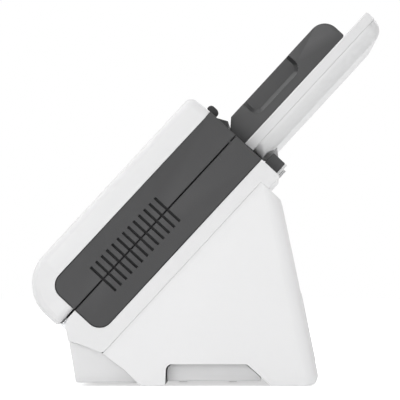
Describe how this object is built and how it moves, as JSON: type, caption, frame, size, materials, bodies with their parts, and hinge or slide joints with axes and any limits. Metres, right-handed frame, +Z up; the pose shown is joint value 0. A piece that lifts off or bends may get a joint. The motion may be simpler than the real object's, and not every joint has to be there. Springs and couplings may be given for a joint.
{
  "type": "document scanner",
  "caption": "Upright sheet-fed document scanner with a leaning body, hinged front cover, fold-back input tray with sliding guides, and a fold-down eject flap.",
  "frame": {"origin": "middle of the footprint's bounding box, on the surface that the scanner stands on", "axes": "+X to the scanner's right-hand side, +Y to its back, +Z up"},
  "size_m": [0.3, 0.2092, 0.2254],
  "materials": {
    "white_shell": "fine-textured white moulded plastic",
    "dark_shell": "fine-textured dark grey moulded plastic",
    "console_gloss": "polished black",
    "button_grey": "satin grey",
    "steel": "plated steel",
    "rubber": "matt rubber",
    "idler_plastic": "natural low-friction plastic",
    "sensor_black": "black moulding",
    "sensor_glass": "clear float glass",
    "circuit_board": "green solder mask",
    "motor_metal": "zinc plated",
    "plate_silver": "bare pale film"
  },
  "bodies": {
    "base": {"stand_shell": "white_shell", "base_pan": "white_shell", "bottom_cover": "white_shell", "port_panel": "dark_shell", "front_toe": "white_shell", "rubber_feet": "rubber", "rating_plate": "plate_silver", "rear_shell": "white_shell", "right_rear_panel": "dark_shell", "left_rear_panel": "dark_shell", "right_frame": "steel", "left_frame": "steel", "stay_bars": "steel", "shaft_bushes": "idler_plastic", "frame_pins": "steel", "lower_paper_guide": "dark_shell", "lower_image_sensor": "sensor_black", "lower_sensor_glass": "sensor_glass", "main_board": "circuit_board", "board_posts": "motor_metal", "power_jack": "sensor_black", "usb_port": "motor_metal", "drive_motor": "motor_metal", "frame_screws": "steel", "drive_belt": "rubber", "tray_hinge_blocks": "dark_shell", "tray_hinge_pins": "steel"},
    "transport_roller": {"transport_shaft": "steel", "transport_rollers": "rubber", "transport_gear": "idler_plastic"},
    "feed_roller": {"feed_shaft": "steel", "feed_rollers": "rubber"},
    "exit_roller": {"exit_shaft": "steel", "exit_rollers": "rubber"},
    "pinion": {"motor_pinion": "idler_plastic"},
    "door": {"front_cover": "white_shell", "right_front_panel": "dark_shell", "left_front_panel": "dark_shell", "upper_paper_guide": "dark_shell", "inlet_lip": "dark_shell", "upper_image_sensor": "sensor_black", "upper_sensor_glass": "sensor_glass", "control_console": "console_gloss", "switch_board": "circuit_board", "latch_pin": "steel", "latch_spring": "steel"},
    "latch": {"latch_lever": "dark_shell"},
    "transport_idler": {"transport_idlers": "idler_plastic"},
    "exit_idler": {"exit_idlers": "idler_plastic"},
    "retard_roller": {"separation_roller": "rubber"},
    "power_key": {"power_button": "button_grey"},
    "scan_key": {"scan_button": "button_grey"},
    "mode_key": {"mode_button": "button_grey"},
    "tray": {"input_tray": "white_shell", "tray_back_cover": "white_shell"},
    "right_guide": {"right_paper_guide": "dark_shell"},
    "left_guide": {"left_paper_guide": "dark_shell"},
    "guide_gear": {"guide_pinion": "idler_plastic"},
    "extension": {"tray_extension": "dark_shell"},
    "flap": {"eject_flap": "white_shell"}
  },
  "joints": [
    {"name": "door_hinge", "type": "hinge", "parent": "base", "child": "door", "pos_m": [0, -0.08872, 0.04075], "axis": [1, 0, 0], "range_deg": [0, 75]},
    {"name": "latch_pivot", "type": "hinge", "parent": "door", "child": "latch", "pos_m": [0.104, -0.01005, 0.15119], "axis": [1, 0, 0], "range_deg": [0, 8], "stiffness_Nm_per_rad": 0.3, "springref_deg": -5.73},
    {"name": "transport_spin", "type": "hinge", "parent": "base", "child": "transport_roller", "pos_m": [0, -0.01245, 0.10712], "axis": [1, 0, 0], "continuous": true},
    {"name": "feed_spin", "type": "hinge", "parent": "base", "child": "feed_roller", "pos_m": [0, 0.00876, 0.12564], "axis": [1, 0, 0], "continuous": true},
    {"name": "exit_spin", "type": "hinge", "parent": "base", "child": "exit_roller", "pos_m": [0, -0.05861, 0.05718], "axis": [1, 0, 0], "continuous": true},
    {"name": "motor_spin", "type": "hinge", "parent": "base", "child": "pinion", "pos_m": [0, -0.00082, 0.09338], "axis": [1, 0, 0], "continuous": true},
    {"name": "transport_idler_spin", "type": "hinge", "parent": "door", "child": "transport_idler", "pos_m": [0, -0.02149, 0.11546], "axis": [1, 0, 0], "continuous": true},
    {"name": "exit_idler_spin", "type": "hinge", "parent": "door", "child": "exit_idler", "pos_m": [0, -0.06764, 0.06553], "axis": [1, 0, 0], "continuous": true},
    {"name": "retard_spin", "type": "hinge", "parent": "door", "child": "retard_roller", "pos_m": [0, -0.00542, 0.13874], "axis": [1, 0, 0], "continuous": true},
    {"name": "power_press", "type": "slide", "parent": "door", "child": "power_key", "axis": [0, 0.7343, -0.6788], "range_m": [0, 0.0008], "stiffness_N_per_m": 1000},
    {"name": "scan_press", "type": "slide", "parent": "door", "child": "scan_key", "axis": [0, 0.7343, -0.6788], "range_m": [0, 0.0008], "stiffness_N_per_m": 1000},
    {"name": "mode_press", "type": "slide", "parent": "door", "child": "mode_key", "axis": [0, 0.7343, -0.6788], "range_m": [0, 0.0008], "stiffness_N_per_m": 1000},
    {"name": "tray_fold", "type": "hinge", "parent": "base", "child": "tray", "pos_m": [0, 0.04163, 0.13447], "axis": [-1, 0, 0], "range_deg": [0, 120]},
    {"name": "right_guide_slide", "type": "slide", "parent": "tray", "child": "right_guide", "axis": [-1, 0, 0], "range_m": [0, 0.07]},
    {"name": "left_guide_slide", "type": "slide", "parent": "tray", "child": "left_guide", "axis": [1, 0, 0], "range_m": [0, 0.07]},
    {"name": "guide_pinion_turn", "type": "hinge", "parent": "tray", "child": "guide_gear", "pos_m": [0, 0.05592, 0.18145], "axis": [0, -0.7343, 0.6788], "range_deg": [0, 503]},
    {"name": "tray_extension_slide", "type": "slide", "parent": "tray", "child": "extension", "axis": [0, 0.6788, 0.7343], "range_m": [0, 0.08]},
    {"name": "flap_hinge", "type": "hinge", "parent": "base", "child": "flap", "pos_m": [0, -0.07682, 0.0055], "axis": [1, 0, 0], "range_deg": [0, 80]}
  ],
  "couplings": [
    {"joint": "feed_spin", "follows": "transport_spin", "ratio": 0.66667},
    {"joint": "exit_spin", "follows": "transport_spin", "ratio": 1},
    {"joint": "motor_spin", "follows": "transport_spin", "ratio": -2},
    {"joint": "left_guide_slide", "follows": "right_guide_slide", "ratio": 1},
    {"joint": "guide_pinion_turn", "follows": "right_guide_slide", "rad_per_m": 125}
  ]
}
